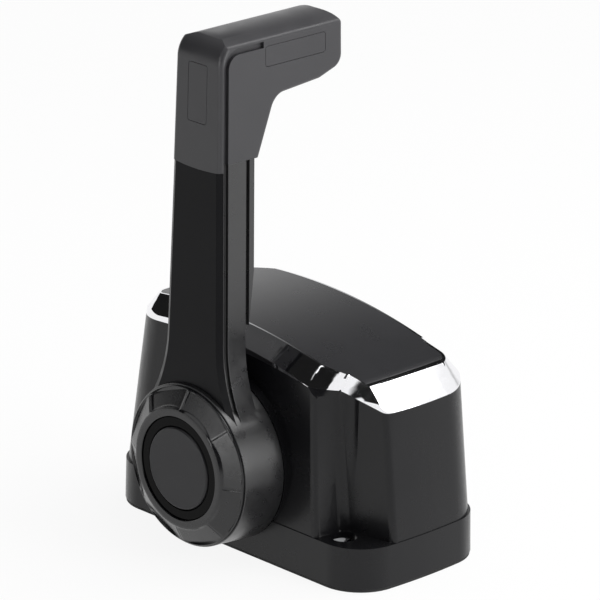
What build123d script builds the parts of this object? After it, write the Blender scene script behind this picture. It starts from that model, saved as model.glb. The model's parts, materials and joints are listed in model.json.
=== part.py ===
import os

from build123d import *
from math import cos, radians, sin, sqrt, tan

os.makedirs("parts", exist_ok=True)

# Single-lever engine control for the top of a boat's console. Millimetres.
# The origin is the centre of the footprint on the mounting plane: +X runs to the low forward
# end, -Y to the side that carries the lever, +Z up. The lever turns about a Y axis.

# ---- Footprint and moulded housing ----
base_length = 175.0
base_width = 86.6
base_corner_radius = 22.0
end_bow = 3.0  # the middle of each end stands out this far past its corners
gasket_thickness = 1.5
ledge_height = 21.5  # top of the screw ledges and of the base flange
flange_draft = 1.2
flange_step = 0.5  # the upper wall starts this far inside the flange
end_draft = 3.0  # lean of the forward end wall, degrees
tail_draft = 6.2  # lean of the aft end wall, degrees
side_draft = 3.3
upper_corner_radius = 23.0
wall = 3.2

# ---- Crown: arched cover inside a sloping bezel ----
cover_apex_x = -25.0
cover_apex_height = 110.2
cover_arch_radius = 314.0
cover_half_width = base_width / 2 - 11.8
bezel_foot_height = cover_apex_height - 11.9  # apex of the arched line between bezel and housing
bezel_arch_radius = 429.0
form_top = cover_apex_height + 2.8  # the lofted body runs up to here before the crown is cut
side_slope = 1.4  # fall of the bezel's sides for each millimetre outwards
nose_slope = 0.9
tail_slope = 1.09
nose_edge_x = base_length / 2 - 16.0  # forward edge of the cover
tail_edge_x = 21.0 - base_length / 2
bezel_corner_round = 9.0
corner_flare = 0.18  # the crown widens aft of its corner as the arch climbs
cutter_reach = 1.6
cover_thickness = 2.4
cover_bow = 2.5

# ---- Corner pockets for the mounting screws ----
# Three points of a pocket's plan, each as (in from the end, in from the side): the pocket's
# edge on the side wall, its inner corner and its edge on the end wall.
pocket_foot = [(30.5, -0.2), (29.0, 18.3), (3.5, 22.8)]
pocket_knee = [(37.5, 3.7), (32.0, 15.3), (5.5, 20.3)]
pocket_crest = [(43.0, 14.1), (24.5, 21.5), (13.5, 26.3)]
pocket_round = 5.0
pocket_edge_round = 3.5
pocket_overrun = 18.0  # the waste reaches this far outside the footprint
nose_knee_height = bezel_foot_height - 10.3
tail_knee_height = bezel_foot_height - 3.3
pocket_rise = 22.0  # height over which the pocket wall leans in towards the cover


def body_outline(left, right, half_width, corner_radius):
    """Rounded rectangle in plan whose two ends bow outwards."""
    with BuildSketch() as outline:
        with BuildLine():
            Line((left + end_bow, -half_width), (right - end_bow, -half_width))
            ThreePointArc((right - end_bow, -half_width), (right, 0), (right - end_bow, half_width))
            Line((right - end_bow, half_width), (left + end_bow, half_width))
            ThreePointArc((left + end_bow, half_width), (left, 0), (left + end_bow, -half_width))
        make_face()
        fillet(outline.vertices(), corner_radius)
    return outline.sketch


def upper_outline(height, inset=0.0):
    """Outline of the drafted upper body at a height, moved inwards by inset."""
    rise = height - ledge_height
    return body_outline(
        -base_length / 2 + end_step + tan(radians(tail_draft)) * rise + inset,
        base_length / 2 - end_step - tan(radians(end_draft)) * rise - inset,
        base_width / 2 - end_step - tan(radians(side_draft)) * rise - inset,
        upper_corner_radius - inset,
    )


def arch_height(x, apex_height, radius):
    """Height at x of an arched line whose highest point is above cover_apex_x."""
    return apex_height - radius + sqrt(radius**2 - (x - cover_apex_x) ** 2)


def under_arch(apex_height, radius, floor=-400.0, reach=110.0):
    """Region of the XZ plane below an arched line."""
    left = (-reach, arch_height(-reach, apex_height, radius))
    right = (reach, arch_height(reach, apex_height, radius))
    with BuildSketch() as region:
        with BuildLine():
            ThreePointArc(left, (cover_apex_x, apex_height), right)
            Polyline(right, (reach, floor), (-reach, floor), left)
        make_face()
    return region.sketch


def pocket_profile(points, grow=0.0):
    """Plan of a corner pocket: a slanting wall in from the side, then one along to the end."""
    places = [(base_length / 2 - along, across - base_width / 2) for along, across in points]
    (edge_x, edge_y), (back_x, back_y), (end_x, end_y) = places
    lead = (edge_x - back_x) / (edge_y - back_y)
    run = (end_y - back_y) / (end_x - back_x)
    outer_y = -base_width / 2 - pocket_overrun
    outer_x = base_length / 2 + pocket_overrun
    with BuildSketch() as profile:
        with BuildLine():
            Polyline(
                (back_x + lead * (outer_y - back_y) - grow, outer_y),
                (back_x - grow, back_y + grow),
                (outer_x, back_y + grow + run * (outer_x - back_x)),
                (outer_x, outer_y),
                close=True,
            )
        make_face()
        fillet(profile.vertices().sort_by_distance((back_x, back_y))[0], pocket_round + grow)
    return profile.sketch


def turned(height, side):
    """Horizontal plane for a forward pocket (side 1) or its half-turn copy aft (side -1)."""
    return Plane(origin=(0, 0, height), x_dir=(side, 0, 0), z_dir=(0, 0, 1))


end_step = flange_step + tan(radians(flange_draft)) * (ledge_height - gasket_thickness)

def body_form(top_rise=0.0):
    """Closed outer form of the body: flange, drafted walls, corner pockets and sloping crown.

    The crown is bounded by the cover's arch, raised by top_rise, and by surfaces that slope
    down and outwards from the cover's edge along each side and each end.
    """
    with BuildPart() as crown_limit:
        with BuildSketch(Plane.XZ):
            add(under_arch(cover_apex_height + top_rise, cover_arch_radius))
        extrude(amount=base_width, both=True)
        for side in (1, -1):
            with BuildSketch(Plane.XZ.offset(-side * cover_half_width)):
                add(under_arch(cover_apex_height, cover_arch_radius))
            extrude(
                amount=2 * base_width, dir=(0, side, -side_slope), both=True, mode=Mode.INTERSECT
            )
        for side, edge_x, slope in ((1, nose_edge_x, nose_slope), (-1, tail_edge_x, tail_slope)):
            corner_x = edge_x - side * cover_bow
            back_x = edge_x - side * 2 * base_length
            edge_height = arch_height(edge_x, cover_apex_height, cover_arch_radius)
            with BuildSketch(Plane.XY.offset(edge_height)):
                with BuildLine():
                    ThreePointArc((corner_x, base_width), (edge_x, 0), (corner_x, -base_width))
                    Polyline(
                        (corner_x, -base_width),
                        (back_x, -base_width),
                        (back_x, base_width),
                        (corner_x, base_width),
                    )
                make_face()
            extrude(
                amount=2 * base_length, dir=(side, 0, -slope), both=True, mode=Mode.INTERSECT
            )
    with BuildPart() as form:
        with BuildSketch(Plane.XY.offset(gasket_thickness)):
            add(body_outline(-base_length / 2, base_length / 2, base_width / 2, base_corner_radius))
        extrude(amount=ledge_height - gasket_thickness, taper=flange_draft)
        with BuildSketch(Plane.XY.offset(ledge_height)):
            add(upper_outline(ledge_height))
        with BuildSketch(Plane.XY.offset(form_top)):
            add(upper_outline(form_top))
        loft()
        add(crown_limit.part, mode=Mode.INTERSECT)
        for side, knee_height in ((1, nose_knee_height), (-1, tail_knee_height)):
            add(corner_cutter(side), mode=Mode.SUBTRACT)
            add(pocket_cutter(side, knee_height), mode=Mode.SUBTRACT)
        middle = (ledge_height + nose_knee_height) / 2
        for foot, knee in zip(pocket_foot[::2], pocket_knee[::2]):
            x = base_length / 2 - (foot[0] + knee[0]) / 2
            y = (foot[1] + knee[1]) / 2 - base_width / 2
            for side in (1, -1):
                edge = form.edges().sort_by_distance((side * x, side * y, middle))[0]
                fillet(edge, pocket_edge_round)
    return form.part


def corner_cutter(side):
    """Waste outside the rounded corner of the crown, from the cover's corner down to the wall."""
    edge_x, draft = (nose_edge_x, end_draft) if side > 0 else (-tail_edge_x, tail_draft)
    top_height = arch_height(side * edge_x, cover_apex_height, cover_arch_radius)
    foot_height = arch_height(side * (edge_x + 12), bezel_foot_height, bezel_arch_radius)
    rise = foot_height - ledge_height
    lowest = foot_height - (top_height - foot_height)
    foot_x = base_length / 2 - end_step - tan(radians(draft)) * rise - end_bow / 4
    foot_y = base_width / 2 - end_step - tan(radians(side_draft)) * rise
    with BuildPart() as cutter:
        with Locations((side * (edge_x + 15), side * (cover_half_width + 12), lowest)):
            Box(
                70, 54, (cutter_reach + 1) * (top_height - foot_height),
                align=(Align.CENTER, Align.CENTER, Align.MIN),
            )
        for share in (-1.0, cutter_reach):
            height = foot_height + share * (top_height - foot_height)
            corner_x = foot_x + share * (edge_x - 0.3 - foot_x)
            corner_y = foot_y + share * (cover_half_width - foot_y)
            radius = upper_corner_radius + share * (bezel_corner_round - upper_corner_radius)
            with BuildSketch(turned(height, side)) as section:
                with BuildLine():
                    Polyline(
                        (corner_x, corner_y),
                        (corner_x - 150, corner_y + 150 * corner_flare),
                        (corner_x - 150, -150),
                        (corner_x + 3, -150),
                        close=True,
                    )
                make_face()
                fillet(section.vertices().sort_by_distance((corner_x, corner_y))[0], radius)
        loft(mode=Mode.SUBTRACT)
        add(below_arch(bezel_foot_height, bezel_arch_radius), mode=Mode.SUBTRACT)
    return cutter.part


def pocket_cutter(side, knee_height, grow=0.0, foot=ledge_height):
    """Solid that clears one corner pocket: upright to the bezel, then leaning in to the cover."""
    with BuildPart() as cutter:
        with BuildSketch(turned(foot, side)):
            add(pocket_profile(pocket_foot, grow))
        with BuildSketch(turned(knee_height, side)):
            add(pocket_profile(pocket_knee, grow))
        loft()
        with BuildSketch(turned(knee_height, side)):
            add(pocket_profile(pocket_knee, grow))
        with BuildSketch(turned(knee_height + pocket_rise, side)):
            add(pocket_profile(pocket_crest, grow))
        loft()
    return cutter.part


def below_arch(apex_height, radius):
    """Solid below an arched surface that runs across the whole body."""
    with BuildPart() as slab:
        with BuildSketch(Plane.XZ):
            add(under_arch(apex_height, radius))
        extrude(amount=base_width, both=True)
    return slab.part



def save(piece, name):
    """Label a finished piece and write it under its node name."""
    piece.label = name
    export_step(piece, f"parts/{name}.step")


def side_plane(y):
    """Upright plane facing the lever side at y, with X across and Z up."""
    return Plane.XZ.offset(-y)


# ---- Housing, gasket, bezel and cover ----
pivot_x = -4.0
pivot_height = 46.4
boss_radius = pivot_height - 5.2
boss_face_y = -base_width / 2
bush_radius = 11.0
bush_flange_radius = 14.0
bush_flange = 2.0
front_bush_end_y = boss_face_y + 10.3
shaft_radius = 8.0
running_fit = 0.05
seat_gap = 0.3

mount_x = base_length / 2 - 23.5
mount_y = base_width / 2 - 12.3
mount_hole_radius = 3.3
screw_well_radius = 6.2
screw_well_depth = 3.4
mount_boss_radius = 10.0
mount_points = [(x, y) for x in (-mount_x, mount_x) for y in (-mount_y, mount_y)]

plate_thickness = 3.0
plate_length = base_length - 15.0
plate_end_width = 26.0
lug_length = 14.0
lug_height = 5.0
plate_top = gasket_thickness + plate_thickness

gasket_inset = 0.4
gasket_width = 4.6

outer_form = body_form()
tall_form = body_form(top_rise=10)
knees = ((1, nose_knee_height), (-1, tail_knee_height))

with BuildPart() as cavity:
    with BuildSketch(Plane.XY):
        add(body_outline(
            -base_length / 2 + wall, base_length / 2 - wall, base_width / 2 - wall, base_corner_radius - wall
        ))
    with BuildSketch(Plane.XY.offset(ledge_height)):
        add(upper_outline(ledge_height, wall))
    loft()
    with BuildSketch(Plane.XY.offset(ledge_height)):
        add(upper_outline(ledge_height, wall))
    with BuildSketch(Plane.XY.offset(form_top)):
        add(upper_outline(form_top, wall))
    loft()
    for side, knee_height in knees:
        add(pocket_cutter(side, knee_height, grow=wall, foot=ledge_height - wall), mode=Mode.SUBTRACT)
    with Locations((mount_x, mount_y), (-mount_x, -mount_y)):
        Cylinder(
            mount_boss_radius, ledge_height - screw_well_depth,
            align=(Align.CENTER, Align.CENTER, Align.MIN), mode=Mode.SUBTRACT,
        )
    for side in (1, -1):
        with Locations((side * plate_length / 2, 0, plate_top)):
            Box(
                lug_length, plate_end_width - 2 * wall, lug_height,
                align=(Align.CENTER, Align.CENTER, Align.MIN), mode=Mode.SUBTRACT,
            )
    with BuildSketch(side_plane(front_bush_end_y)):
        with Locations((pivot_x, pivot_height)):
            Circle(bush_radius + wall)
    extrude(amount=base_width / 2, mode=Mode.SUBTRACT)

with BuildPart() as housing_shell:
    add(outer_form)
    with BuildSketch(side_plane(boss_face_y)):
        with Locations((pivot_x, pivot_height)):
            Circle(boss_radius)
    extrude(amount=-2 * wall)
    add(cavity.part, mode=Mode.SUBTRACT)
    add(below_arch(bezel_foot_height, bezel_arch_radius), mode=Mode.INTERSECT)
    with BuildSketch(side_plane(boss_face_y)):
        with Locations((pivot_x, pivot_height)):
            Circle(bush_radius)
    extrude(amount=-base_width / 4, mode=Mode.SUBTRACT)
    with BuildSketch(side_plane(boss_face_y)):
        with Locations((pivot_x, pivot_height)):
            Circle(bush_flange_radius)
    extrude(amount=-bush_flange, mode=Mode.SUBTRACT)
    with Locations(*mount_points):
        Cylinder(mount_hole_radius, ledge_height, align=(Align.CENTER, Align.CENTER, Align.MIN), mode=Mode.SUBTRACT)
    for side in (1, -1):
        with Locations((side * mount_x, -side * mount_y, ledge_height)):
            CounterBoreHole(mount_hole_radius, screw_well_radius, screw_well_depth)
save(housing_shell.part, "housing_shell")

with BuildPart() as base_gasket:
    with BuildSketch() as gasket_plan:
        add(body_outline(
            -base_length / 2 + gasket_inset, base_length / 2 - gasket_inset,
            base_width / 2 - gasket_inset, base_corner_radius - gasket_inset,
        ))
        inset = gasket_inset + gasket_width
        add(body_outline(
            -base_length / 2 + inset, base_length / 2 - inset,
            base_width / 2 - inset, base_corner_radius - inset,
        ), mode=Mode.SUBTRACT)
        with Locations(*mount_points):
            Circle(mount_boss_radius)
        with Locations(*mount_points):
            Circle(mount_hole_radius, mode=Mode.SUBTRACT)
    extrude(amount=gasket_thickness)
save(base_gasket.part, "base_gasket")

with BuildPart() as crown:
    add(outer_form)
    add(below_arch(bezel_foot_height, bezel_arch_radius), mode=Mode.SUBTRACT)

rim_drop = 1.3
opening_drop = 6.0
cover_gap = 0.25
cover_seat_apex = cover_apex_height - cover_thickness

with BuildPart() as cover_well:
    add(tall_form.moved(Location((0, 0, -rim_drop))))
    add(below_arch(cover_seat_apex, cover_arch_radius), mode=Mode.SUBTRACT)

with BuildPart() as chrome_bezel:
    add(crown.part)
    add(cover_well.part, mode=Mode.SUBTRACT)
    add(tall_form.moved(Location((0, 0, -opening_drop))), mode=Mode.SUBTRACT)
save(chrome_bezel.part, "chrome_bezel")

with BuildPart() as top_cover:
    add(tall_form.moved(Location((0, 0, -rim_drop - cover_gap))))
    add(below_arch(cover_seat_apex, cover_arch_radius), mode=Mode.SUBTRACT)
    add(below_arch(cover_apex_height, cover_arch_radius), mode=Mode.INTERSECT)
save(top_cover.part, "top_cover")


# ---- Frame of the mechanism ----
plate_middle_width = 42.0
frame_thickness = 3.0
frame_front_y = -18.0
frame_rear_y = 12.0
frame_margin = 8.0
frame_top = pivot_height + 31.6
frame_corner = 8.0
shaft_clear_radius = 12.0
spacer_radius = 4.0
spacer_points = [
    (pivot_x + side * reach, height)
    for reach, height in ((19.0, pivot_height + 27.6), (24.0, plate_top + 5.0))
    for side in (-1, 1)
]
frame_screw_radius = 3.0
frame_screw_head = 1.8
cable_hole_radius = 6.0
clamp_length = 14.0
clamp_width = 12.0
clamp_height = 9.0
clamp_bore = 4.5
clamp_slot = 1.5

gear_front_y = frame_front_y + 5.5
gear_rear_y = gear_front_y + 5.5
gear_module = 1.6
drive_teeth = 20
shift_ratio = 0.5
throttle_ratio = 0.625
drive_pitch_radius = gear_module * drive_teeth / 2
shift_pitch_radius = drive_pitch_radius / shift_ratio
throttle_pitch_radius = drive_pitch_radius / throttle_ratio
shift_x = pivot_x + drive_pitch_radius + shift_pitch_radius
throttle_x = pivot_x - drive_pitch_radius - throttle_pitch_radius
pin_radius = 4.0
pin_collar_radius = 7.0
sector_hub_front_y = frame_front_y + frame_thickness + seat_gap
sector_hub_rear_y = gear_rear_y + 5.0
shift_reach = base_length / 2 - 19.5 - shift_x
throttle_reach = base_length / 2 - 21.9 + throttle_x
frame_left = throttle_x - frame_margin
frame_right = shift_x + frame_margin
arm_eye_radius = 5.5
arm_pin_radius = 2.5
arm_pin_rear_y = gear_rear_y + 8.0
cable_y = (gear_rear_y + arm_pin_rear_y) / 2
arm_pin_head_radius = 4.0
arm_pin_head = 1.5
shift_cable_x = shift_x + shift_reach - 4
throttle_cable_x = throttle_x - throttle_reach + 4


def side_disc(x, z, radius, front_y, rear_y, bore=0):
    """Round boss with its axis across the housing, from front_y back to rear_y."""
    with BuildPart() as disc:
        with BuildSketch(side_plane(front_y)):
            with Locations((x, z)):
                Circle(radius)
                if bore:
                    Circle(bore, mode=Mode.SUBTRACT)
        extrude(amount=front_y - rear_y)
    return disc.part


with BuildPart() as base_plate:
    with BuildSketch(Plane.XY.offset(gasket_thickness)):
        RectangleRounded(plate_length, plate_end_width, wall)
        with Locations(((frame_left + frame_right) / 2, 0)):
            RectangleRounded(frame_right - frame_left, plate_middle_width, wall)
        with Locations((shift_cable_x, cable_y), (throttle_cable_x, cable_y)):
            Circle(cable_hole_radius, mode=Mode.SUBTRACT)
    extrude(amount=plate_thickness)
save(base_plate.part, "base_plate")


def frame_plate(front_y, shaft_hole):
    """Upright plate of the frame, bored for the shaft, the two pins and the screws."""
    with BuildPart() as plate:
        with BuildSketch(side_plane(front_y)) as face:
            with Locations(((frame_left + frame_right) / 2, (plate_top + frame_top) / 2)):
                Rectangle(frame_right - frame_left, frame_top - plate_top)
            chamfer(face.vertices().group_by(Axis.Z)[-1], frame_corner)
            with Locations((pivot_x, pivot_height)):
                Circle(shaft_hole, mode=Mode.SUBTRACT)
            with Locations((shift_x, pivot_height), (throttle_x, pivot_height)):
                Circle(pin_radius, mode=Mode.SUBTRACT)
            with Locations(*spacer_points):
                Circle(frame_screw_radius / 2, mode=Mode.SUBTRACT)
        extrude(amount=-frame_thickness)
    return plate.part


rear_bush_radius = 10.0
save(frame_plate(frame_front_y, shaft_clear_radius), "frame_plate_front")
save(frame_plate(frame_rear_y - frame_thickness, rear_bush_radius), "frame_plate_rear")

spacer_front_y = frame_front_y + frame_thickness
spacer_rear_y = frame_rear_y - frame_thickness
with BuildPart() as frame_spacers:
    for x, z in spacer_points:
        add(side_disc(x, z, spacer_radius, spacer_front_y, spacer_rear_y, frame_screw_radius / 2))
save(frame_spacers.part, "frame_spacers")

with BuildPart() as frame_screws:
    for x, z in spacer_points:
        add(side_disc(x, z, frame_screw_radius / 2, frame_front_y, frame_rear_y))
        add(side_disc(x, z, frame_screw_radius, frame_front_y - frame_screw_head, frame_front_y))
        add(side_disc(x, z, frame_screw_radius, frame_rear_y, frame_rear_y + frame_screw_head))
save(frame_screws.part, "frame_screws")

with BuildPart() as pivot_pins:
    for x in (shift_x, throttle_x):
        add(side_disc(x, pivot_height, pin_radius, frame_front_y, frame_rear_y))
        add(side_disc(
            x, pivot_height, pin_collar_radius, sector_hub_rear_y + seat_gap, frame_rear_y - frame_thickness
        ))
save(pivot_pins.part, "pivot_pins")


def cable_clamp(x):
    """Split block on the base plate that grips the end of a cable jacket."""
    with BuildPart(Plane((x, cable_y, plate_top))) as clamp:
        Box(clamp_length, clamp_width, clamp_height, align=(Align.CENTER, Align.CENTER, Align.MIN))
        Cylinder(
            clamp_bore, clamp_height, align=(Align.CENTER, Align.CENTER, Align.MIN), mode=Mode.SUBTRACT
        )
        Box(
            clamp_slot, clamp_width / 2, clamp_height,
            align=(Align.CENTER, Align.MIN, Align.MIN), mode=Mode.SUBTRACT,
        )
    return clamp.part


save(cable_clamp(shift_cable_x), "cable_clamp_shift")
save(cable_clamp(throttle_cable_x), "cable_clamp_throttle")

# ---- Shaft, bushes, cam and switch ----
shaft_bore = 3.3
drum_rear_y = boss_face_y - 0.4
drum_front_y = drum_rear_y - 22.5
shaft_front_y = drum_front_y + 3.2
shaft_rear_y = frame_rear_y + 2.5
cam_front_y = gear_rear_y + 2.5
cam_rear_y = cam_front_y + 3.5
cam_radius = 22.0
cam_notch_radius = 3.0
cam_notch_step = 30.0
circlip_front_y = frame_rear_y + 0.9
circlip_radius = 10.0
circlip_thickness = 1.1
nut_radius = 11.0
nut_front_y = shaft_front_y + 1.0
nut_rear_y = nut_front_y + 6.0
switch_length = 20.0
switch_height = 9.0
switch_front_y = cam_rear_y - 1.5
switch_lever = 1.2
spring_width = 4.5
spring_strip = 0.8

shaft_bush_front = side_disc(
    pivot_x, pivot_height, bush_radius, boss_face_y, front_bush_end_y, shaft_radius + running_fit
) + side_disc(
    pivot_x, pivot_height, bush_flange_radius, boss_face_y, boss_face_y + bush_flange,
    shaft_radius + running_fit,
)
save(shaft_bush_front, "shaft_bush_front")
save(side_disc(
    pivot_x, pivot_height, rear_bush_radius, frame_rear_y - frame_thickness, frame_rear_y,
    shaft_radius + running_fit,
), "shaft_bush_rear")
save(side_disc(
    pivot_x, pivot_height, shaft_radius, shaft_front_y, shaft_rear_y, shaft_bore
), "main_shaft")
save(side_disc(
    pivot_x, pivot_height, circlip_radius, circlip_front_y, circlip_front_y + circlip_thickness,
    shaft_radius,
), "shaft_circlip")

with BuildPart() as hub_nut:
    with BuildSketch(side_plane(nut_front_y)):
        with Locations((pivot_x, pivot_height)):
            RegularPolygon(nut_radius, 6)
            Circle(shaft_radius, mode=Mode.SUBTRACT)
    extrude(amount=nut_front_y - nut_rear_y)
save(hub_nut.part, "hub_nut")

with BuildPart() as detent_cam:
    with BuildSketch(side_plane(cam_front_y)):
        with Locations((pivot_x, pivot_height)):
            Circle(cam_radius)
            Circle(shaft_radius, mode=Mode.SUBTRACT)
            with PolarLocations(cam_radius + seat_gap, 3, start_angle=-90 - cam_notch_step,
                                angular_range=3 * cam_notch_step):
                Circle(cam_notch_radius, mode=Mode.SUBTRACT)
    extrude(amount=cam_front_y - cam_rear_y)
save(detent_cam.part, "detent_cam")

switch_foot = pivot_height + cam_radius + 2 * seat_gap + switch_lever
with BuildPart() as neutral_switch:
    with Locations((pivot_x, (switch_front_y + spacer_rear_y) / 2, switch_foot)):
        Box(
            switch_length, spacer_rear_y - switch_front_y, switch_height,
            align=(Align.CENTER, Align.CENTER, Align.MIN),
        )
    with Locations((pivot_x, (switch_front_y + cam_rear_y) / 2, switch_foot)):
        Box(
            switch_length / 3, 1.2, switch_lever,
            align=(Align.CENTER, Align.CENTER, Align.MAX),
        )
save(neutral_switch.part, "neutral_switch")

with BuildPart() as detent_spring:
    nose_top = pivot_height - cam_radius - seat_gap
    with BuildSketch(side_plane(cam_front_y - seat_gap)):
        with BuildLine() as leaf:
            Polyline(
                (pivot_x - 14, plate_top + spring_strip / 2),
                (pivot_x + 12, plate_top + spring_strip / 2),
                (pivot_x + 14, plate_top + 6),
                (pivot_x, nose_top - spring_strip),
                (pivot_x - 9, nose_top - 6),
            )
        trace(line_width=spring_strip)
    extrude(amount=-spring_width)
save(detent_spring.part, "detent_spring")

# ---- Gear and sectors ----
tooth_root_half = 0.92
tooth_pitch_half = 0.5
tooth_tip_half = 0.22
tip_add = 0.8
root_drop = 1.25


def gear_tooth(pitch_radius, angle):
    """Flat outline of one straight-flanked tooth pointing out at the given angle."""
    root = pitch_radius - root_drop * gear_module - seat_gap
    half_root = tooth_root_half * gear_module
    half_pitch = tooth_pitch_half * gear_module
    half_tip = tooth_tip_half * gear_module
    tip = pitch_radius + tip_add * gear_module
    with BuildSketch() as tooth:
        with BuildLine():
            Polyline(
                (root, -half_root), (pitch_radius, -half_pitch), (tip, -half_tip),
                (tip, half_tip), (pitch_radius, half_pitch), (root, half_root), close=True,
            )
        make_face()
    return tooth.sketch.rotate(Axis.Z, angle)


def gear_plane(x):
    """Upright plane on the front of the gears, centred on the axle at x."""
    return Plane((x, gear_front_y, pivot_height), x_dir=(1, 0, 0), z_dir=(0, -1, 0))


with BuildPart() as drive_gear:
    with BuildSketch(gear_plane(pivot_x)):
        Circle(drive_pitch_radius - root_drop * gear_module)
        for tooth in range(drive_teeth):
            add(gear_tooth(drive_pitch_radius, (tooth + 0.5) * 360 / drive_teeth))
        Circle(shaft_radius, mode=Mode.SUBTRACT)
    extrude(amount=gear_front_y - gear_rear_y)
save(drive_gear.part, "drive_gear")


def sector(x, pitch_radius, reach, facing, teeth_each_way):
    """Toothed sector on its pin with a cable arm on the side away from the shaft."""
    root = pitch_radius - root_drop * gear_module
    pitch_angle = 180 * gear_module / pitch_radius
    span = (teeth_each_way + 0.5) * pitch_angle
    turns = [radians(facing + turn) for turn in (-span, 0, span)]
    with BuildPart() as part:
        with BuildSketch(gear_plane(x)):
            with BuildLine():
                Polyline((0, 0), *[(2 * root * cos(turn), 2 * root * sin(turn)) for turn in turns], close=True)
            make_face()
            Circle(root, mode=Mode.INTERSECT)
            for tooth in range(-teeth_each_way, teeth_each_way + 1):
                add(gear_tooth(pitch_radius, facing + tooth * pitch_angle))
            with Locations((-reach * cos(radians(facing)), 0)):
                Circle(arm_eye_radius)
            with Locations((-reach / 2 * cos(radians(facing)), 0)):
                Rectangle(reach, 2 * arm_eye_radius)
            Circle(pin_collar_radius)
        extrude(amount=gear_front_y - gear_rear_y)
        add(side_disc(x, pivot_height, pin_collar_radius, sector_hub_front_y, sector_hub_rear_y))
        add(side_disc(
            x, pivot_height, pin_radius + running_fit, sector_hub_front_y, sector_hub_rear_y
        ), mode=Mode.SUBTRACT)
        add(side_disc(
            x - reach * cos(radians(facing)), pivot_height, arm_pin_radius,
            gear_front_y, gear_rear_y,
        ), mode=Mode.SUBTRACT)
    return part.part


def arm_pin(x):
    """Headed pin that joins the sector's arm to the cable terminal."""
    pin = side_disc(x, pivot_height, arm_pin_radius, gear_front_y, arm_pin_rear_y)
    return pin + side_disc(x, pivot_height, arm_pin_head_radius, gear_front_y - arm_pin_head, gear_front_y)


save(sector(shift_x, shift_pitch_radius, shift_reach, 180, 6), "shift_sector")
save(arm_pin(shift_x + shift_reach), "shift_pin")
save(sector(throttle_x, throttle_pitch_radius, throttle_reach, 0, 6), "throttle_sector")
save(arm_pin(throttle_x - throttle_reach), "throttle_pin")

# ---- Lever ----
handle_top = 206.1  # height of the handle's crown above the pivot
lever_lean = 1.3  # the blade leans in over the housing, degrees
lever_foot_y = drum_front_y + 1.2
drum_rear_radius = boss_radius - 0.2
drum_front_radius = drum_rear_radius - 1.7
flank_low = (18.4, 75.0)
flank_high = (15.0, handle_top - 7.5)
flare_radius = 70.0
grip_joint = handle_top - 62.2
joint_step = 3.5  # the joint is this much higher behind the front layer
joint_sag = 4.0
joint_radius = 120.0
neck_foot = 22.0

face_chamfer_width = 3.0
face_chamfer_depth = 1.9
front_groove = (1.9, 4.9)
rear_groove = (16.0, 18.1)
groove_depth = 1.8
outer_split = 3.4
inner_split = 17.0
lever_thickness = 21.1
strip_foot = 60.0
strip_full = 95.0

collar_inner_radius = 25.1
collar_crest_radius = 28.7
collar_outer_radius = drum_front_radius - 0.7
collar_crest_y = drum_front_y - 6.55
collar_rim_y = drum_front_y - 0.85
ring_inner_radius = 20.3
ring_outer_radius = collar_inner_radius - seat_gap
ring_front_y = collar_crest_y + 0.75
button_radius = ring_inner_radius - 0.4
button_front_y = collar_crest_y
button_thickness = 3.25
button_crown = 0.6
rod_radius = shaft_bore - running_fit
button_well_radius = button_radius + 0.7
button_well_y = shaft_front_y
nut_well_radius = 13.0
return_spring_radius = 5.5
return_spring_wire = 0.6

lever_tilt = Vector(0, sin(radians(lever_lean)), cos(radians(lever_lean)))


def lever_plane(depth):
    """Plane of the lever's face, sunk by depth, with its origin on the pivot's axis."""
    normal = Vector(0, -lever_tilt.Z, lever_tilt.Y)
    return Plane(Vector(pivot_x, lever_foot_y, pivot_height) - normal * depth, x_dir=(1, 0, 0), z_dir=normal)


def joint_circle(step):
    """Disc whose lower rim is the curved joint between the blade and the grip."""
    with BuildSketch() as disc:
        with Locations((0, grip_joint + step + joint_radius)):
            Circle(joint_radius)
    return disc.sketch


def lever_outline(inset, step):
    """Round foot, flared neck and tapered blade, pulled in by inset all round."""
    low = Vector(*flank_low)
    rise = (Vector(*flank_high) - low).normalized()
    outward = Vector(rise.Y, -rise.X)
    foot = drum_front_radius - inset
    flare = flare_radius + inset
    edge = low - outward * inset
    centre = edge + outward * flare
    along = centre.dot(rise)
    centre = centre + rise * (sqrt((foot + flare) ** 2 - centre.dot(centre) + along**2) - along)
    neck = centre - outward * flare
    drum = centre * (foot / (foot + flare))
    middle = centre + (((neck + drum) * 0.5) - centre).normalized() * flare
    end = edge + rise * ((grip_joint + step + joint_sag - edge.Y) / rise.Y)
    with BuildSketch() as outline:
        with BuildLine():
            Line((0, 0), drum)
            ThreePointArc(drum, middle, neck)
            Line(neck, end)
            Line(end, (-end.X, end.Y))
            Line((-end.X, end.Y), (-neck.X, neck.Y))
            ThreePointArc((-neck.X, neck.Y), (-middle.X, middle.Y), (-drum.X, drum.Y))
            Line((-drum.X, drum.Y), (0, 0))
        make_face()
        Circle(foot)
        add(joint_circle(step), mode=Mode.SUBTRACT)
    return outline.sketch


def lever_layer(front_depth, rear_depth, inset, step=joint_step):
    """Slice of the lever between two depths below its face."""
    with BuildPart() as layer:
        with BuildSketch(lever_plane(front_depth)):
            add(lever_outline(inset, step))
        extrude(amount=front_depth - rear_depth)
    return layer.part


def face_chamfer():
    """Front slice of the lever whose rim slopes back from the flat face."""
    with BuildPart() as rim:
        with BuildSketch(lever_plane(0)):
            add(lever_outline(face_chamfer_width, 0))
        with BuildSketch(lever_plane(face_chamfer_depth)):
            add(lever_outline(0, 0))
        loft()
    return rim.part


def drum(front_radius, front_y, rear_radius, rear_y):
    """Round body about the lever's axis, tapering between its two faces."""
    with BuildPart() as body:
        with BuildSketch(side_plane(front_y)):
            with Locations((pivot_x, pivot_height)):
                Circle(front_radius)
        with BuildSketch(side_plane(rear_y)):
            with Locations((pivot_x, pivot_height)):
                Circle(rear_radius)
        loft()
    return body.part


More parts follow.
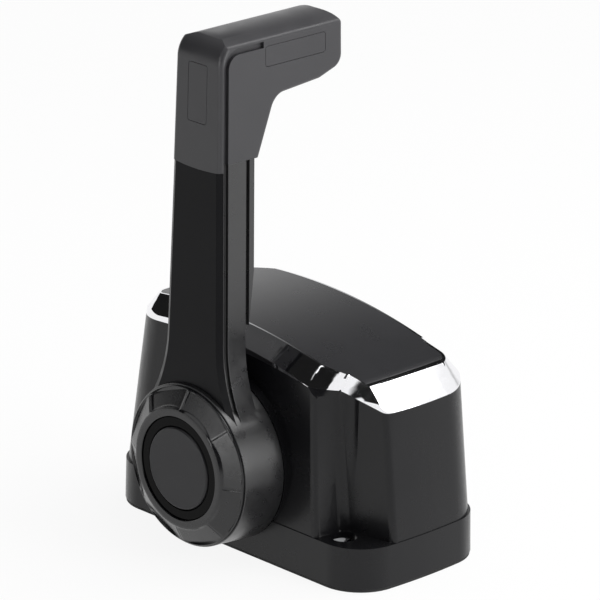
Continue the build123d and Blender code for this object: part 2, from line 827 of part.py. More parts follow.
def lever_side(points, reach):
    """Prism across the lever from a side outline given along the blade and out from its face."""
    origin = Vector(pivot_x - reach, lever_foot_y, pivot_height)
    with BuildPart() as prism:
        with BuildSketch(Plane(origin, x_dir=lever_tilt, z_dir=(1, 0, 0))):
            with BuildLine():
                Polyline(*points, close=True)
            make_face()
        extrude(amount=2 * reach)
    return prism.part


far = 60.0
drum_body = drum(drum_front_radius, drum_front_y, drum_rear_radius, drum_rear_y)
drum_clear = drum(drum_front_radius, lever_foot_y - far, drum_front_radius, drum_rear_y + far)
above_neck = lever_side([(neck_foot, far), (2 * grip_joint, far), (2 * grip_joint, -far), (neck_foot, -far)], far)

with BuildPart() as lever_outer_cover:
    add(face_chamfer())
    add(lever_layer(face_chamfer_depth, outer_split, groove_depth, 0))
    add(drum_clear, mode=Mode.SUBTRACT)
    add(drum_body, mode=Mode.SUBTRACT)
    add(above_neck, mode=Mode.INTERSECT)
save(lever_outer_cover.part, "lever_outer_cover")

with BuildPart() as lever_core:
    add(lever_layer(outer_split, front_groove[1], groove_depth))
    add(lever_layer(front_groove[1], rear_groove[0], 0))
    add(lever_layer(rear_groove[0], inner_split, groove_depth))
    add(drum_clear, mode=Mode.SUBTRACT)
    add(above_neck, mode=Mode.INTERSECT)
    add(drum_body)
    for radius, y in ((button_well_radius, button_well_y), (nut_well_radius, nut_rear_y)):
        add(side_disc(pivot_x, pivot_height, radius, drum_front_y, y), mode=Mode.SUBTRACT)
    add(side_disc(pivot_x, pivot_height, shaft_radius, drum_front_y, drum_rear_y), mode=Mode.SUBTRACT)
save(lever_core.part, "lever_core")

with BuildPart() as lever_inner_cover:
    add(lever_layer(inner_split, rear_groove[1], groove_depth))
    add(lever_layer(rear_groove[1], lever_thickness, 0))
    add(lever_side([
        (strip_foot, 0), (strip_foot, -inner_split), (strip_full, -lever_thickness),
        (strip_full, -far), (2 * grip_joint, -far), (2 * grip_joint, 0),
    ], far), mode=Mode.INTERSECT)
save(lever_inner_cover.part, "lever_inner_cover")


def hub_turning(points):
    """Ring turned about the lever's axis from a section of radius and y."""
    with BuildPart() as ring:
        with BuildSketch(Plane((pivot_x, 0, pivot_height), x_dir=(1, 0, 0), z_dir=(0, 0, 1))):
            with BuildLine():
                Polyline(*points, close=True)
            make_face()
        revolve(axis=Axis((pivot_x, 0, pivot_height), (0, 1, 0)))
    return ring.part


with BuildPart() as hub_collar:
    add(hub_turning([
        (collar_inner_radius, collar_crest_y), (collar_crest_radius, collar_crest_y),
        (collar_outer_radius, collar_rim_y), (collar_outer_radius, drum_front_y),
        (collar_inner_radius, drum_front_y),
    ]))
save(hub_collar.part, "hub_collar")

save(hub_turning([
    (ring_inner_radius, ring_front_y), (ring_outer_radius, ring_front_y),
    (ring_outer_radius, drum_front_y), (ring_inner_radius + 1, drum_front_y),
    (ring_inner_radius + 1, ring_front_y + 2), (ring_inner_radius, ring_front_y + 2),
]), "hub_ring")

# ---- Neutral button ----
with BuildPart() as neutral_button:
    add(side_disc(pivot_x, pivot_height, button_radius, button_front_y, button_front_y + button_thickness))
    chamfer(neutral_button.edges().sort_by(Axis.Y)[0], button_crown)
save(neutral_button.part, "neutral_button")

rod_rear_y = shaft_rear_y + 0.5
save(side_disc(
    pivot_x, pivot_height, rod_radius, button_front_y + button_thickness, rod_rear_y
), "button_rod")

spring_front_y = button_front_y + button_thickness
with BuildPart() as button_spring:
    pitch = (button_well_y - spring_front_y - 2 * return_spring_wire) / 3
    with BuildLine() as coil_line:
        Helix(
            pitch, 3 * pitch, return_spring_radius,
            center=(pivot_x, spring_front_y + return_spring_wire, pivot_height), direction=(0, 1, 0),
        )
    with BuildSketch(Plane(coil_line.line @ 0, z_dir=coil_line.line % 0)):
        Circle(return_spring_wire)
    sweep(path=coil_line.line, is_frenet=True)
save(button_spring.part, "button_spring")

# ---- Grip ----
grip_crown = pivot_height + handle_top
grip_top = grip_crown - 3.5  # height of the handle's top edges
grip_tip_y = lever_foot_y + 81.3
grip_underside_tip = grip_crown - 24.5
grip_belly_y = grip_tip_y - 14.3
grip_belly = grip_crown - 29.1
tip_top_radius = 5.0
tip_low_radius = 7.0
tip_plan_radius = 4.0
grip_corner = 12.0
gusset_foot_y = lever_foot_y + 25.0
gusset_head = (lever_foot_y + 39.0, grip_crown - 31.3)
gusset_radius = 9.0
handle_edge_radius = 2.5
face_edge_radius = 2.5
shell_top = grip_crown - 5.9
shell_turn = 8.0
shell_end_y = lever_foot_y + 31.0
blank_front_y = lever_foot_y + 32.0
blank_rear_y = grip_tip_y - 11.3
blank_high = grip_top - 3.4
blank_low = blank_high - 9.8
blank_depth = 1.6
blank_corner = 1.5
trim_gap = 0.2
inlay_width = 12.6
inlay_high = grip_top - 9.0
inlay_low = inlay_high - 28.0
inlay_depth = 1.2
inlay_face_y = lever_foot_y + tan(radians(lever_lean)) * ((inlay_low + inlay_high) / 2 - pivot_height)


def split_line(depth):
    """Open path of the seam between the outer shell and the grip body, at a depth below the face."""
    foot = lever_plane(depth).origin + lever_tilt * (grip_joint - joint_sag)
    turn = lever_plane(depth).origin + lever_tilt * (shell_top - shell_turn - pivot_height)
    with BuildLine() as path:
        Line((foot.Y, foot.Z), (turn.Y, turn.Z))
        end = (turn.Y + shell_turn, shell_top)
        RadiusArc((turn.Y, turn.Z), end, shell_turn)
        Line(end, (shell_end_y, shell_top))
    return path.line


def seam_region():
    """Prism holding everything in front of the seam and above it."""
    seam = split_line(outer_split)
    with BuildPart() as region:
        with BuildSketch(Plane.YZ.offset(pivot_x - far)):
            with BuildLine():
                add(seam)
                Polyline(
                    seam @ 1, (shell_end_y, grip_crown + far), (-2 * far, grip_crown + far),
                    (-2 * far, (seam @ 0).Y), seam @ 0,
                )
            make_face()
        extrude(amount=2 * far)
    return region.part


def seam_ribbon():
    """Prism as wide as the groove along the seam."""
    with BuildPart() as ribbon:
        with BuildSketch(Plane.YZ.offset(pivot_x - far)):
            with BuildLine():
                add(split_line(outer_split))
            trace(line_width=front_groove[1] - front_groove[0])
        extrude(amount=2 * far)
    return ribbon.part


def grip_outline(inset):
    """Prism along Y from the tapered, crowned front outline of the grip."""
    low = grip_joint + pivot_height - 2 * joint_sag
    half_low = flank_high[0] + (flank_low[0] - flank_high[0]) * 0.45 - inset
    half_high = flank_high[0] - inset
    with BuildPart() as prism:
        with BuildSketch(Plane.XZ.offset(2 * far)):
            with BuildLine():
                Line((pivot_x - half_low, low), (pivot_x - half_high, grip_top))
                ThreePointArc(
                    (pivot_x - half_high, grip_top), (pivot_x, grip_crown), (pivot_x + half_high, grip_top)
                )
                Line((pivot_x + half_high, grip_top), (pivot_x + half_low, low))
                Line((pivot_x + half_low, low), (pivot_x - half_low, low))
            make_face()
        extrude(amount=-4 * far)
    return prism.part


with BuildPart() as grip_side:
    with BuildSketch(Plane.YZ.offset(pivot_x - far)) as profile:
        with BuildLine():
            low_front = lever_plane(0).origin + lever_tilt * (grip_joint - joint_sag)
            high_front = lever_plane(0).origin + lever_tilt * handle_top
            Polyline(
                (low_front.Y, low_front.Z), (high_front.Y, grip_crown), (grip_tip_y, grip_crown),
                (grip_tip_y, grip_underside_tip), (grip_belly_y, grip_belly),
                gusset_head, (gusset_foot_y, low_front.Z), close=True,
            )
        make_face()
        for point, radius in (
            ((high_front.Y, grip_crown), grip_corner), ((grip_tip_y, grip_crown), tip_top_radius),
            ((grip_tip_y, grip_underside_tip), tip_low_radius), (gusset_head, gusset_radius),
            ((grip_belly_y, grip_belly), gusset_radius),
        ):
            fillet(profile.vertices().sort_by_distance(point)[0], radius)
    extrude(amount=2 * far)

with BuildPart() as grip_plan:
    with BuildSketch(Plane.XY.offset(grip_joint)) as plan:
        with Locations((pivot_x, grip_tip_y)):
            Rectangle(2 * flank_low[0], 2 * far, align=(Align.CENTER, Align.MAX))
        fillet(plan.vertices().group_by(Axis.Y)[-1], tip_plan_radius)
    extrude(amount=grip_crown)


def above_joint(step):
    """Prism along the lever's normal that holds everything above the curved joint."""
    with BuildPart() as prism:
        with BuildSketch(lever_plane(-far)):
            add(joint_circle(step))
        extrude(amount=-3 * far)
    return prism.part


with BuildPart() as grip_solid:
    add(grip_side.part)
    add(grip_outline(0), mode=Mode.INTERSECT)
    add(grip_plan.part, mode=Mode.INTERSECT)
    handle_edges = [
        edge for edge in grip_solid.edges()
        if edge.center().Y > gusset_foot_y + 2 and edge.center().Z < grip_underside_tip + 4
        and abs(edge.center().X - pivot_x) > flank_high[0] - 2
    ]
    fillet(handle_edges, handle_edge_radius)
    face_edges = [
        edge for edge in grip_solid.edges()
        if abs(edge.center().X - pivot_x) > flank_high[0] - 2 and edge.center().Z > pivot_height + grip_joint
        and edge.center().Y < grip_tip_y - tip_top_radius - tip_plan_radius
        and (edge.center().Y < lever_foot_y + grip_corner / 2 or edge.center().Z > grip_top - 1)
    ]
    fillet(face_edges, face_edge_radius)


def blank_box(gap):
    """Box through the grip's forward side where the blank plate sits, less a gap all round."""
    with BuildPart() as box:
        with Locations((
            pivot_x + flank_high[0] - blank_depth - gap,
            (blank_front_y + blank_rear_y) / 2, (blank_low + blank_high) / 2,
        )):
            Box(
                far, blank_rear_y - blank_front_y - 2 * gap, blank_high - blank_low - 2 * gap,
                align=(Align.MIN, Align.CENTER, Align.CENTER),
            )
        fillet(box.edges().filter_by(Axis.X), blank_corner - gap)
    return box.part


def inlay_box(gap):
    """Box through the grip's face where the inlay sits, less a gap all round."""
    with BuildPart() as box:
        with Locations((pivot_x, inlay_face_y + inlay_depth + gap, (inlay_low + inlay_high) / 2)):
            Box(
                inlay_width - 2 * gap, far, inlay_high - inlay_low - 2 * gap,
                align=(Align.CENTER, Align.MAX, Align.CENTER),
            )
        fillet(box.edges().filter_by(Axis.Y), blank_corner - gap)
    return box.part


def groove_cutter():
    """Channel that runs round the grip along its seam."""
    with BuildPart() as channel:
        add(seam_ribbon())
        add(grip_outline(groove_depth), mode=Mode.SUBTRACT)
    return channel.part


with BuildPart() as grip_outer_shell:
    add(grip_solid.part)
    add(seam_region(), mode=Mode.INTERSECT)
    add(above_joint(0), mode=Mode.INTERSECT)
    add(groove_cutter(), mode=Mode.SUBTRACT)
    add(inlay_box(0), mode=Mode.SUBTRACT)
save(grip_outer_shell.part, "grip_outer_shell")

with BuildPart() as grip_body:
    add(grip_solid.part)
    add(seam_region(), mode=Mode.SUBTRACT)
    add(above_joint(joint_step), mode=Mode.INTERSECT)
    add(groove_cutter(), mode=Mode.SUBTRACT)
    add(blank_box(0), mode=Mode.SUBTRACT)
save(grip_body.part, "grip_body")

with BuildPart() as switch_blank:
    add(grip_solid.part)
    add(blank_box(trim_gap).moved(Location((trim_gap, 0, 0))), mode=Mode.INTERSECT)
save(switch_blank.part, "switch_blank")

with BuildPart() as grip_inlay:
    add(grip_solid.part)
    add(inlay_box(trim_gap).moved(Location((0, -trim_gap, 0))), mode=Mode.INTERSECT)
save(grip_inlay.part, "grip_inlay")
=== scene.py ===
import json
import math

import bmesh
import bpy
import numpy as np
from mathutils import Matrix, Vector


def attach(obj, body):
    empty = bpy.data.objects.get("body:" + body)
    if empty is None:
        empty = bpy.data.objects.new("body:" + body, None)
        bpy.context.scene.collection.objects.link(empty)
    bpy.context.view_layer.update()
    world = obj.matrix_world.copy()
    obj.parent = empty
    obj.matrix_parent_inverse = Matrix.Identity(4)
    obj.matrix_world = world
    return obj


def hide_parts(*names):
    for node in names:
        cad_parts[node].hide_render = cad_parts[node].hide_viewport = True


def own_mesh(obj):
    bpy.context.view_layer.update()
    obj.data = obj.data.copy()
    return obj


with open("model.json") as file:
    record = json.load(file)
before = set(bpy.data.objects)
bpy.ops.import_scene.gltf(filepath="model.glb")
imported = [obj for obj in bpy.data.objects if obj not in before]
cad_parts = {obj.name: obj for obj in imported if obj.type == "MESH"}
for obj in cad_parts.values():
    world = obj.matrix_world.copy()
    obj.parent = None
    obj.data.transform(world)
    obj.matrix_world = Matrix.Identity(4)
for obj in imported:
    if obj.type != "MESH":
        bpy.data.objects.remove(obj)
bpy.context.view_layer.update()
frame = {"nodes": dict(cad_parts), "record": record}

MM = 0.001
PIVOT_X = -4.0 * MM
PIVOT_Z = 46.4 * MM


# ---------------------------------------------------------------- finishes
LEATHER_GRAIN, ORANGE_PEEL = 2600.0, 900.0  # repeats of a pattern in a metre
RELIEF, SCRATCH_RELIEF = 0.03 * MM, 0.02 * MM


class Nodes:
    """Node tree with short forms for the few kinds of node the finishes and the room use."""

    def __init__(self, tree):
        self.tree = tree

    def add(self, kind, **settings):
        node = self.tree.nodes.new(kind)
        for name, value in settings.items():
            setattr(node, name, value)
        return node

    def link(self, a, b):
        self.tree.links.new(a, b)

    def feed(self, value, socket):
        if isinstance(value, (int, float)):
            socket.default_value = value
        else:
            self.link(value, socket)

    def math(self, kind, a, b=0.0):
        node = self.add("ShaderNodeMath", operation=kind)
        self.feed(a, node.inputs[0])
        self.feed(b, node.inputs[1])
        return node.outputs[0]

    def remap(self, value, low, high, to_low, to_high, kind="LINEAR"):
        node = self.add("ShaderNodeMapRange", interpolation_type=kind)
        limits = {"From Min": low, "From Max": high, "To Min": to_low, "To Max": to_high}
        for socket, number in limits.items():
            node.inputs[socket].default_value = number
        self.feed(value, node.inputs["Value"])
        return node.outputs["Result"]

    def step(self, value, low, high):
        """Smooth step from 0 at low to 1 at high, or falling where high is the lower."""
        if low < high:
            return self.remap(value, low, high, 0.0, 1.0, "SMOOTHSTEP")
        return self.remap(value, high, low, 1.0, 0.0, "SMOOTHSTEP")

    def blend(self, share, a, b):
        node = self.add("ShaderNodeMix")
        self.feed(share, node.inputs["Factor"])
        self.feed(a, node.inputs["A"])
        self.feed(b, node.inputs["B"])
        return node.outputs["Result"]


class Finish(Nodes):
    """Node material under construction: shader sockets plus helpers for procedural detail."""

    def __init__(self, name, colour, roughness, metallic=0.0, **uniform):
        self.material = bpy.data.materials.new(name)
        self.material.use_nodes = True
        super().__init__(self.material.node_tree)
        self.shader = self.tree.nodes["Principled BSDF"]
        self.shader.inputs["Base Color"].default_value = (*colour, 1.0)
        self.shader.inputs["Roughness"].default_value = roughness
        self.shader.inputs["Metallic"].default_value = metallic
        for socket, value in uniform.items():
            self.shader.inputs[socket.replace("_", " ")].default_value = value
        self.place = self.add("ShaderNodeTexCoord").outputs["Object"]
        self.height = None

    def stretched(self, scale):
        node = self.add("ShaderNodeMapping")
        node.inputs["Scale"].default_value = scale
        self.link(self.place, node.inputs["Vector"])
        return node.outputs["Vector"]

    def noise(self, scale, detail=3.0, rough=0.55, place=None):
        node = self.add("ShaderNodeTexNoise")
        node.inputs["Scale"].default_value = scale
        node.inputs["Detail"].default_value = detail
        node.inputs["Roughness"].default_value = rough
        self.link(place or self.place, node.inputs["Vector"])
        return node.outputs["Fac"]

    def tint(self, value, stops):
        node = self.add("ShaderNodeValToRGB")
        ramp = node.color_ramp
        while len(ramp.elements) < len(stops):
            ramp.elements.new(0.5)
        for element, (position, colour) in zip(ramp.elements, stops):
            element.position = position
            element.color = (*colour, 1.0)
        self.link(value, node.inputs["Fac"])
        self.link(node.outputs["Color"], self.shader.inputs["Base Color"])

    def rough(self, value):
        self.link(value, self.shader.inputs["Roughness"])

    def bump(self, value, strength, distance):
        node = self.add("ShaderNodeBump")
        node.inputs["Strength"].default_value = strength
        node.inputs["Distance"].default_value = distance
        self.link(value, node.inputs["Height"])
        if self.height is not None:
            self.link(self.height, node.inputs["Normal"])
        self.height = node.outputs["Normal"]
        self.link(self.height, self.shader.inputs["Normal"])


def moulded(name, dark, light, roughness, wear=0.06, specular=0.5):
    """Moulded plastic: fine leather-like grain, faint flow marks and uneven gloss from handling."""
    finish = Finish(name, dark, roughness, Specular_IOR_Level=specular)
    flow = finish.noise(14.0, 3.0)
    finish.tint(flow, [(0.3, dark), (0.75, light)])
    finish.rough(finish.remap(finish.noise(55.0, 5.0), 0.3, 0.7, roughness - wear, roughness + wear))
    finish.bump(finish.noise(LEATHER_GRAIN, 2.0, 0.7), 0.35, RELIEF)
    return finish.material


def lacquered(name, dark, light, roughness, specular=0.5):
    """Sprayed metal: orange-peel ripple and faint dust in the lacquer."""
    finish = Finish(name, dark, roughness, Specular_IOR_Level=specular)
    finish.tint(finish.noise(22.0, 4.0), [(0.3, dark), (0.8, light)])
    finish.rough(finish.remap(finish.noise(160.0, 4.0), 0.3, 0.7, roughness - 0.05, roughness + 0.06))
    finish.bump(finish.noise(ORANGE_PEEL, 2.0), 0.18, RELIEF)
    return finish.material


def metal(name, colour, roughness, stretch=(1, 1, 1), scratch=0.08, grain=500.0):
    """Turned, brushed or plated metal: directional fine scratches and a slight cloud in the gloss."""
    finish = Finish(name, colour, roughness, metallic=1.0)
    lines = finish.noise(grain, 4.0, 0.6, finish.stretched(stretch))
    cloud = finish.noise(30.0, 3.0)
    both = finish.math("ADD", lines, finish.math("MULTIPLY", cloud, 0.6))
    finish.rough(finish.remap(both, 0.5, 1.1, max(roughness - scratch, 0.02), roughness + scratch))
    finish.bump(lines, 0.12, SCRATCH_RELIEF)
    return finish.material


FINISHES = {
    "gasket": moulded("foot rubber", (0.012, 0.012, 0.012), (0.02, 0.02, 0.02), 0.8),
    "housing": moulded(
        "housing plastic", (0.005, 0.005, 0.006), (0.007, 0.007, 0.008), 0.26, wear=0.03, specular=0.3,
    ),
    "cover": moulded(
        "cover plastic", (0.018, 0.018, 0.020), (0.022, 0.022, 0.025), 0.28, wear=0.012, specular=0.46,
    ),
    "bezel": metal("bezel plating", (0.88, 0.88, 0.9), 0.07, scratch=0.03, grain=240.0),
    "screws": metal("screw steel", (0.6, 0.6, 0.62), 0.28),
    "plate": metal("zinc plate", (0.55, 0.56, 0.57), 0.4, stretch=(0.2, 1, 3)),
    "spacer": metal("spacer alloy", (0.7, 0.7, 0.72), 0.35),
    "clamp": moulded("clamp plastic", (0.05, 0.05, 0.055), (0.07, 0.07, 0.075), 0.55),
    "bush": moulded("bush plastic", (0.62, 0.6, 0.55), (0.7, 0.68, 0.63), 0.5),
    "switch": moulded("switch plastic", (0.03, 0.03, 0.03), (0.05, 0.05, 0.05), 0.5),
    "steel": metal("bright steel", (0.6, 0.6, 0.62), 0.25),
    "gear": metal("gear steel", (0.42, 0.42, 0.43), 0.38),
    "lever": lacquered(
        "lever lacquer", (0.011, 0.011, 0.012), (0.015, 0.015, 0.016), 0.3, specular=0.78,
    ),
    # Painted shade: the lever's near face gets a darker copy of the lever lacquer with almost no
    # reflection, standing in for the shade on that side.
    "lever_face": lacquered(
        "face lacquer with painted shade", (0.004, 0.004, 0.005), (0.006, 0.006, 0.007), 0.34, specular=0.1,
    ),
    "grip": moulded("grip plastic", (0.036, 0.036, 0.039), (0.042, 0.041, 0.045), 0.37, specular=0.45),
    "collar": lacquered(
        "collar lacquer", (0.003, 0.003, 0.004), (0.005, 0.005, 0.006), 0.24, specular=0.55,
    ),
    "hub_gloss": moulded(
        "ring gloss", (0.001, 0.001, 0.001), (0.002, 0.002, 0.002), 0.2, specular=0.06,
    ),
    "button": lacquered(
        "button lacquer", (0.014, 0.014, 0.016), (0.018, 0.018, 0.020), 0.36, specular=0.3,
    ),
}
FINISHES["blank"] = FINISHES["grip"]


# ---------------------------------------------------------------- meshes
DOUBLE_DISTANCE = 0.01 * MM
FLAT_ANGLE, SHARP_ANGLE, CREASE_ANGLE = map(math.radians, (0.5, 28.0, 30.0))


def dressed(node, dissolve=True):
    """Copy of a solid with its doubles merged, riding on the solid's body in its place."""
    source = frame["nodes"][node]
    piece = bpy.data.objects.new(f"{node}_finished", source.data.copy())
    bpy.context.scene.collection.objects.link(piece)
    mesh = piece.data
    bm = bmesh.new()
    bm.from_mesh(mesh)
    bmesh.ops.remove_doubles(bm, verts=bm.verts, dist=DOUBLE_DISTANCE)
    if dissolve:
        bmesh.ops.dissolve_limit(bm, angle_limit=FLAT_ANGLE, verts=bm.verts, edges=bm.edges)
    bm.to_mesh(mesh)
    bm.free()
    mesh.shade_smooth()
    mesh.materials.clear()
    mesh.materials.append(COATS[node])
    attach(piece, next(name for name, nodes in BODIES.items() if node in nodes))
    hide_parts(node)
    return piece


def rounded(node, width):
    """Dressed copy of a solid with every sharp edge rounded to the given width."""
    piece = dressed(node, dissolve=node != "lever_core")
    bevel = piece.modifiers.new("edge rounding", "BEVEL")
    bevel.width = width
    bevel.segments = 3
    bevel.limit_method = "ANGLE"
    bevel.angle_limit = SHARP_ANGLE
    bevel.use_clamp_overlap = True
    even = piece.modifiers.new("even shading", "WEIGHTED_NORMAL")
    even.mode = "FACE_AREA"
    even.weight = 60


RECORD = frame["record"]
BODIES = RECORD["behaviour"]["bodies"]
SLOTS = {part["node"]: part["material_slot"] for part in RECORD["subparts"]}

COATS = {node: FINISHES[slot] for node, slot in SLOTS.items()}
COATS["grip_outer_shell"] = FINISHES["grip"]

for node, thing in frame["nodes"].items():
    thing.data.materials.clear()
    thing.data.materials.append(COATS[node])

# Width of the rounding on each piece's sharp edges, in metres.
ROUNDED = {
    "housing_shell": 0.0006, "chrome_bezel": 0.0004, "top_cover": 0.0004, "lever_core": 0.0005,
    "lever_outer_cover": 0.0009, "lever_inner_cover": 0.0005, "grip_outer_shell": 0.0008,
    "grip_body": 0.0006, "switch_blank": 0.0001, "grip_inlay": 0.0001,
    "hub_ring": 0.0004, "neutral_button": 0.0004,
}
for node, width in ROUNDED.items():
    rounded(node, width)

spring = dressed("button_spring", dissolve=False)
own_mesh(spring)


def ring_surface(name, points, node, body):
    """Closed ring from an array of shape (sections, angles, 3), joined along both directions."""
    sections, angles, _ = points.shape
    index = np.arange(sections * angles).reshape(sections, angles)
    beside = np.roll(index, -1, axis=1)
    below = np.roll(index, -1, axis=0)
    faces = np.stack([index, below, np.roll(below, -1, axis=1), beside], axis=-1).reshape(-1, 4)
    mesh = bpy.data.meshes.new(name)
    mesh.from_pydata(points.reshape(-1, 3).tolist(), [], faces.tolist())
    mesh.update()
    mesh.shade_smooth()
    mesh.set_sharp_from_angle(angle=CREASE_ANGLE)
    mesh.materials.append(COATS[node])
    piece = bpy.data.objects.new(name, mesh)
    bpy.context.scene.collection.objects.link(piece)
    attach(piece, body)
    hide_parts(node)


def smooth(low, high, value):
    """Cubic step from 0 at low to 1 at high."""
    share = np.clip((value - low) / (high - low), 0.0, 1.0)
    return share * share * (3.0 - 2.0 * share)


CREST_Y = -72.8 * MM
PANELS, PANEL_TURN, PANEL_FLATNESS = 8, math.radians(-3.0), 0.8
LINE_DEPTH, LINE_REACH, TOP_DEPTH = 0.35 * MM, 0.45 * MM, 0.9 * MM


def collar():
    """Collar of the hub: a cone whose face is let in as eight flat panels with fine lines between.

    With r the radius, a the angle from the middle of the nearest panel and e half a panel's
    angle, the cone lies at y = crest + slope * (r - r_crest), and the flat of a panel differs from
    it by slope * r * (cos(a) / cos(e) - 1).  The face is the cone plus a weight, which falls to 0
    at the crest and at the rim, times the sum of PANEL_FLATNESS of that difference, a fine line
    sunk along every panel's edge, and the depth by which the panel above the cap is sunk.
    """
    inner, crest, outer = 25.1 * MM, 28.7 * MM, 38.6 * MM
    crest_y, rim_y, foot_y = CREST_Y, -67.15 * MM, -66.3 * MM
    edge = 0.35 * MM
    cone = np.linspace(crest + edge, outer - edge, 40)
    radii = np.concatenate([
        [inner + 0.02 * MM, inner + 0.02 * MM, inner + edge],
        np.linspace(inner + 2 * edge, crest - edge, 4),
        cone,
        [outer - 0.05 * MM, outer - 0.05 * MM],
    ])
    depth = np.concatenate([
        [foot_y, crest_y + edge, crest_y + 0.05 * MM],
        np.full(4, crest_y + 0.03 * MM),
        crest_y + (cone - crest) / (outer - crest) * (rim_y - crest_y),
        [rim_y + 0.1 * MM, foot_y],
    ])
    angle = np.linspace(0.0, 2.0 * np.pi, PANELS * 56, endpoint=False)[None, :]
    r = radii[:, None]
    half = np.pi / PANELS
    from_middle = np.mod(angle - PANEL_TURN, 2.0 * half) - half
    slope = (rim_y - crest_y) / (outer - crest)
    rising = smooth(crest + 0.2 * MM, crest + 1.2 * MM, r)
    weight = rising * (1.0 - smooth(outer - 1.4 * MM, outer - 0.4 * MM, r))
    flat = slope * r * (np.cos(from_middle) / np.cos(half) - 1.0)
    to_edge = r * (half - np.abs(from_middle))
    line = LINE_DEPTH * (1.0 - smooth(0.0, LINE_REACH, to_edge))
    top = np.abs(np.mod(angle - PANEL_TURN - 5.0 * half + np.pi, 2.0 * np.pi) - np.pi)
    sunk = TOP_DEPTH * (1.0 - smooth(half * 0.86, half * 0.97, top))
    y = depth[:, None] + weight * (PANEL_FLATNESS * flat + line + sunk)
    x, z = PIVOT_X + r * np.cos(angle), PIVOT_Z + r * np.sin(angle)
    points = np.stack([x, np.broadcast_to(y, x.shape), z], axis=-1)
    ring_surface("collar_panelled", points, "hub_collar", "lever")


collar()


# ---------------------------------------------------------------- stage
FLOOR_REACH, FLOOR_LIFT = 3.0, 0.9
KEY_SIDE, TAIL_SIDE = (0.62, 0.74, 0.26), (-0.98, 0.1, 0.1)
SOFT_LEVELS, DARK_LEVEL, WINDOW_LEVEL = (0.2, 0.95), 0.01, 6.0
WINDOW_AT, WINDOW_LEAN = 0.1, 0.6


def floor_sheet(reach):
    """Flat square on the ground, out to the given reach on every side."""
    corners = [(-reach, -reach, 0), (reach, -reach, 0), (reach, reach, 0), (-reach, reach, 0)]
    mesh = bpy.data.meshes.new("floor")
    mesh.from_pydata(corners, [], [(0, 1, 2, 3)])
    mesh.update()
    mesh.materials.append(floor_paper())
    thing = bpy.data.objects.new("floor", mesh)
    bpy.context.scene.collection.objects.link(thing)


def looked_at(nodes):
    """1 where the camera looks, directly or through a gloss or glass, and 0 for diffuse light."""
    path = nodes.add("ShaderNodeLightPath")
    mirrored = nodes.math("MAXIMUM", path.outputs["Is Glossy Ray"], path.outputs["Is Transmission Ray"])
    return nodes.math("MAXIMUM", path.outputs["Is Camera Ray"], mirrored)


def floor_paper():
    """White paper: takes the object's shadow, and is lifted to the backdrop's white on view."""
    finish = Finish("floor paper", (0.93, 0.93, 0.93), 0.85)
    finish.bump(finish.noise(700.0, 3.0), 0.1, 0.00005)
    glow = finish.add("ShaderNodeEmission")
    mix = finish.add("ShaderNodeMixShader")
    finish.link(finish.math("MULTIPLY", looked_at(finish), FLOOR_LIFT), mix.inputs["Fac"])
    finish.link(finish.shader.outputs["BSDF"], mix.inputs[1])
    finish.link(glow.outputs["Emission"], mix.inputs[2])
    finish.link(mix.outputs["Shader"], finish.tree.nodes["Material Output"].inputs["Surface"])
    return finish.material


def leans_to(nodes, place, direction, low, high):
    """Smooth step of how far the direction looked in leans towards a given one."""
    along = nodes.add("ShaderNodeVectorMath", operation="DOT_PRODUCT")
    along.inputs[1].default_value = direction
    nodes.link(place, along.inputs[0])
    return nodes.remap(along.outputs["Value"], low, high, 0.0, 1.0, "SMOOTHSTEP")


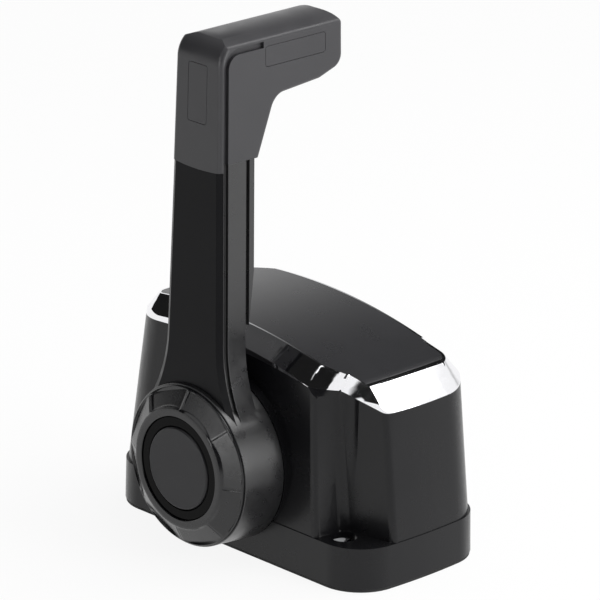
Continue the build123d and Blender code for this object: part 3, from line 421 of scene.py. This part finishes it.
def studio_world():
    """Room of the studio, by the direction (x, y, z) looked in.

    Diffuse light follows one soft ramp towards KEY_SIDE.  The camera, gloss and glass see the room:
    white up to the horizon, a white far side (+y) that ends overhead except for a strip ahead
    (0.1 < x < 0.43), a white patch behind the tail, a white ceiling patch, and a dark near side with
    one tall window in it, |x - WINDOW_AT + WINDOW_LEAN * max(z, 0)| < 0.18, which fades with height.
    """
    world = bpy.data.worlds.new("studio")
    world.use_nodes = True
    bpy.context.scene.world = world
    nodes = Nodes(world.node_tree)
    shader = world.node_tree.nodes["Background"]
    shader.inputs["Color"].default_value = (1, 1, 1, 1)
    place = nodes.add("ShaderNodeTexCoord").outputs["Generated"]
    axes = nodes.add("ShaderNodeSeparateXYZ")
    nodes.link(place, axes.inputs[0])
    x, y, z = axes.outputs
    soft = nodes.remap(leans_to(nodes, place, KEY_SIDE, -0.5, 0.8), 0, 1, *SOFT_LEVELS)

    far = nodes.step(y, 0.1, 0.5)
    ahead = nodes.math("MULTIPLY", nodes.step(x, 0.0, 0.2), nodes.step(x, 0.5, 0.36))
    sky = nodes.math("MULTIPLY", far, nodes.math("MAXIMUM", nodes.step(z, 0.62, 0.24), ahead))
    tail = leans_to(nodes, place, TAIL_SIDE, 0.84, 0.93)
    ceiling = nodes.step(z, 0.76, 0.86)
    bright = nodes.math("MAXIMUM", nodes.math("MAXIMUM", sky, tail), ceiling)

    lean = nodes.math("MULTIPLY", nodes.math("MAXIMUM", z, 0.0), WINDOW_LEAN)
    across = nodes.math("ABSOLUTE", nodes.math("ADD", nodes.math("SUBTRACT", x, WINDOW_AT), lean))
    window = nodes.math("MULTIPLY", nodes.step(across, 0.26, 0.1), nodes.step(y, -0.7, -0.85))
    window = nodes.math("MULTIPLY", window, WINDOW_LEVEL)
    window = nodes.math("MULTIPLY", window, nodes.remap(z, 0.18, 0.4, 1.0, 0.3))

    horizon = nodes.step(z, 0.08, 0.03)
    room = nodes.math("MAXIMUM", nodes.math("MAXIMUM", bright, horizon), window)
    room = nodes.math("ADD", room, DARK_LEVEL)
    nodes.link(nodes.blend(looked_at(nodes), soft, room), shader.inputs["Strength"])


studio_world()
floor_sheet(FLOOR_REACH)


def softbox(name, place, aim, size, power):
    """Area lamp of the given width and height in metres, turned to face its aim."""
    light = bpy.data.lights.new(name, "AREA")
    light.shape = "RECTANGLE"
    light.size, light.size_y = size
    light.energy = power
    thing = bpy.data.objects.new(name, light)
    bpy.context.scene.collection.objects.link(thing)
    direction = Vector(aim) - Vector(place)
    thing.rotation_euler = direction.to_track_quat("-Z", "Y").to_euler()
    thing.location = place


softbox("overhead softbox", (0.35, 0.45, 1.2), (0, 0, 0.1), (0.9, 0.9), 8.0)
softbox("side softbox", (1.4, 0.35, 0.45), (0, 0, 0.12), (0.5, 1.0), 8.0)

# ---------------------------------------------------------------- camera
SENSOR_WIDTH, FRAME_PIXELS, FOCAL_PIXELS = 36.0, 600.0, 4592.64
eye = Vector((1456.48, -1411.78, 832.76)) * MM
right = Vector((0.69366, 0.72023, 0.01034))
up = Vector((-0.24760, 0.22493, 0.94239))
back = Vector((0.67641, -0.65626, 0.33435))
camera_data = bpy.data.cameras.new("camera")
camera_data.sensor_width = SENSOR_WIDTH
camera_data.lens = FOCAL_PIXELS * SENSOR_WIDTH / FRAME_PIXELS
camera_data.clip_end = 20.0
camera = bpy.data.objects.new("camera", camera_data)
bpy.context.scene.collection.objects.link(camera)
turn = Matrix((right, up, back)).transposed()
camera.matrix_world = Matrix.Translation(eye) @ turn.to_4x4()
bpy.context.scene.camera = camera
bpy.context.scene.view_settings.view_transform = "Standard"
